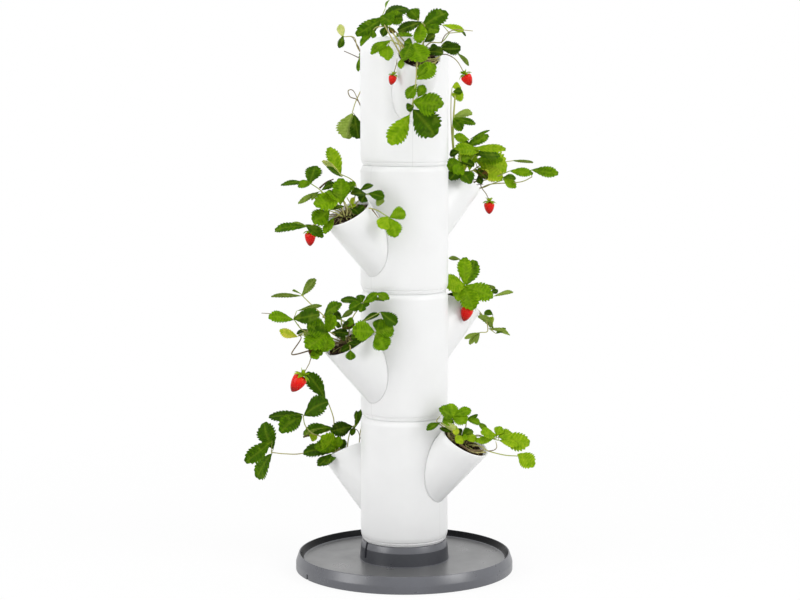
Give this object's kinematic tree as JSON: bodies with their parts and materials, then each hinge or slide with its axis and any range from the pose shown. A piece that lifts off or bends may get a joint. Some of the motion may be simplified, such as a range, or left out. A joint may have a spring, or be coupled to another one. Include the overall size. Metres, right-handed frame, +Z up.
{
  "type": "vertical planter tower",
  "caption": "Stacked round white planter modules with slanted planting pockets, planted with strawberries, on a dark grey round saucer.",
  "frame": {"origin": "centre of the saucer's underside, on the ground, on the tower's axis", "axes": "+Z up along the tower's axis, -Y towards the viewer of the picture, +X to the viewer's right"},
  "size_m": [0.5888, 0.4415, 1.0267],
  "materials": {
    "white_plastic": "smooth satin white moulding",
    "grey_plastic": "fine-grained dark grey moulding",
    "soil": "loose fibrous potting compost",
    "foliage": "living strawberry leaves and stalks",
    "fruit": "ripe glossy red fruit"
  },
  "bodies": {
    "saucer": {"saucer": "grey_plastic"},
    "floor_1": {"floor_plate_1": "white_plastic"},
    "tier_1": {"module_1": "white_plastic", "substrate_1": "soil", "plant_1_upper": "foliage", "plant_1_lower": "foliage"},
    "floor_2": {"floor_plate_2": "white_plastic"},
    "tier_2": {"module_2": "white_plastic", "substrate_2": "soil", "plant_2_upper": "foliage", "plant_2_lower": "foliage", "strawberry_2_upper": "fruit", "strawberry_2_lower": "fruit"},
    "floor_3": {"floor_plate_3": "white_plastic"},
    "tier_3": {"module_3": "white_plastic", "substrate_3": "soil", "plant_3_upper": "foliage", "plant_3_lower": "foliage", "strawberry_3_upper": "fruit", "strawberry_3_lower": "fruit"},
    "floor_4": {"floor_plate_4": "white_plastic"},
    "tier_4": {"module_4": "white_plastic", "substrate_4": "soil", "plant_4_upper": "foliage", "plant_4_lower": "foliage", "strawberry_4_left": "fruit", "strawberry_4_right": "fruit"}
  },
  "joints": [
    {"name": "lift_1", "type": "slide", "parent": "saucer", "child": "floor_1", "axis": [0, 0, 1], "range_m": [0, 0.06], "deforming": ["plant_1_upper", "plant_1_lower"]},
    {"name": "turn_1", "type": "hinge", "parent": "floor_1", "child": "tier_1", "pos_m": [0, 0, 0.054], "axis": [0, 0, 1], "continuous": true, "deforming": ["plant_1_upper", "plant_1_lower"]},
    {"name": "lift_2", "type": "slide", "parent": "tier_1", "child": "floor_2", "axis": [0, 0, 1], "range_m": [0, 0.06], "deforming": ["plant_1_upper", "plant_1_lower", "plant_2_upper", "plant_2_lower"]},
    {"name": "turn_2", "type": "hinge", "parent": "floor_2", "child": "tier_2", "pos_m": [0, 0, 0.284], "axis": [0, 0, 1], "continuous": true, "deforming": ["plant_1_upper", "plant_1_lower", "plant_2_upper", "plant_2_lower"]},
    {"name": "lift_3", "type": "slide", "parent": "tier_2", "child": "floor_3", "axis": [0, 0, 1], "range_m": [0, 0.06], "deforming": ["plant_2_upper", "plant_2_lower", "plant_3_upper", "plant_3_lower"]},
    {"name": "turn_3", "type": "hinge", "parent": "floor_3", "child": "tier_3", "pos_m": [0, 0, 0.514], "axis": [0, 0, 1], "continuous": true, "deforming": ["plant_2_upper", "plant_2_lower", "plant_3_upper", "plant_3_lower"]},
    {"name": "lift_4", "type": "slide", "parent": "tier_3", "child": "floor_4", "axis": [0, 0, 1], "range_m": [0, 0.06], "deforming": ["plant_3_upper", "plant_3_lower", "plant_4_upper", "plant_4_lower"]},
    {"name": "turn_4", "type": "hinge", "parent": "floor_4", "child": "tier_4", "pos_m": [0, 0, 0.744], "axis": [0, 0, 1], "continuous": true, "deforming": ["plant_3_upper", "plant_3_lower", "plant_4_upper", "plant_4_lower"]}
  ]
}
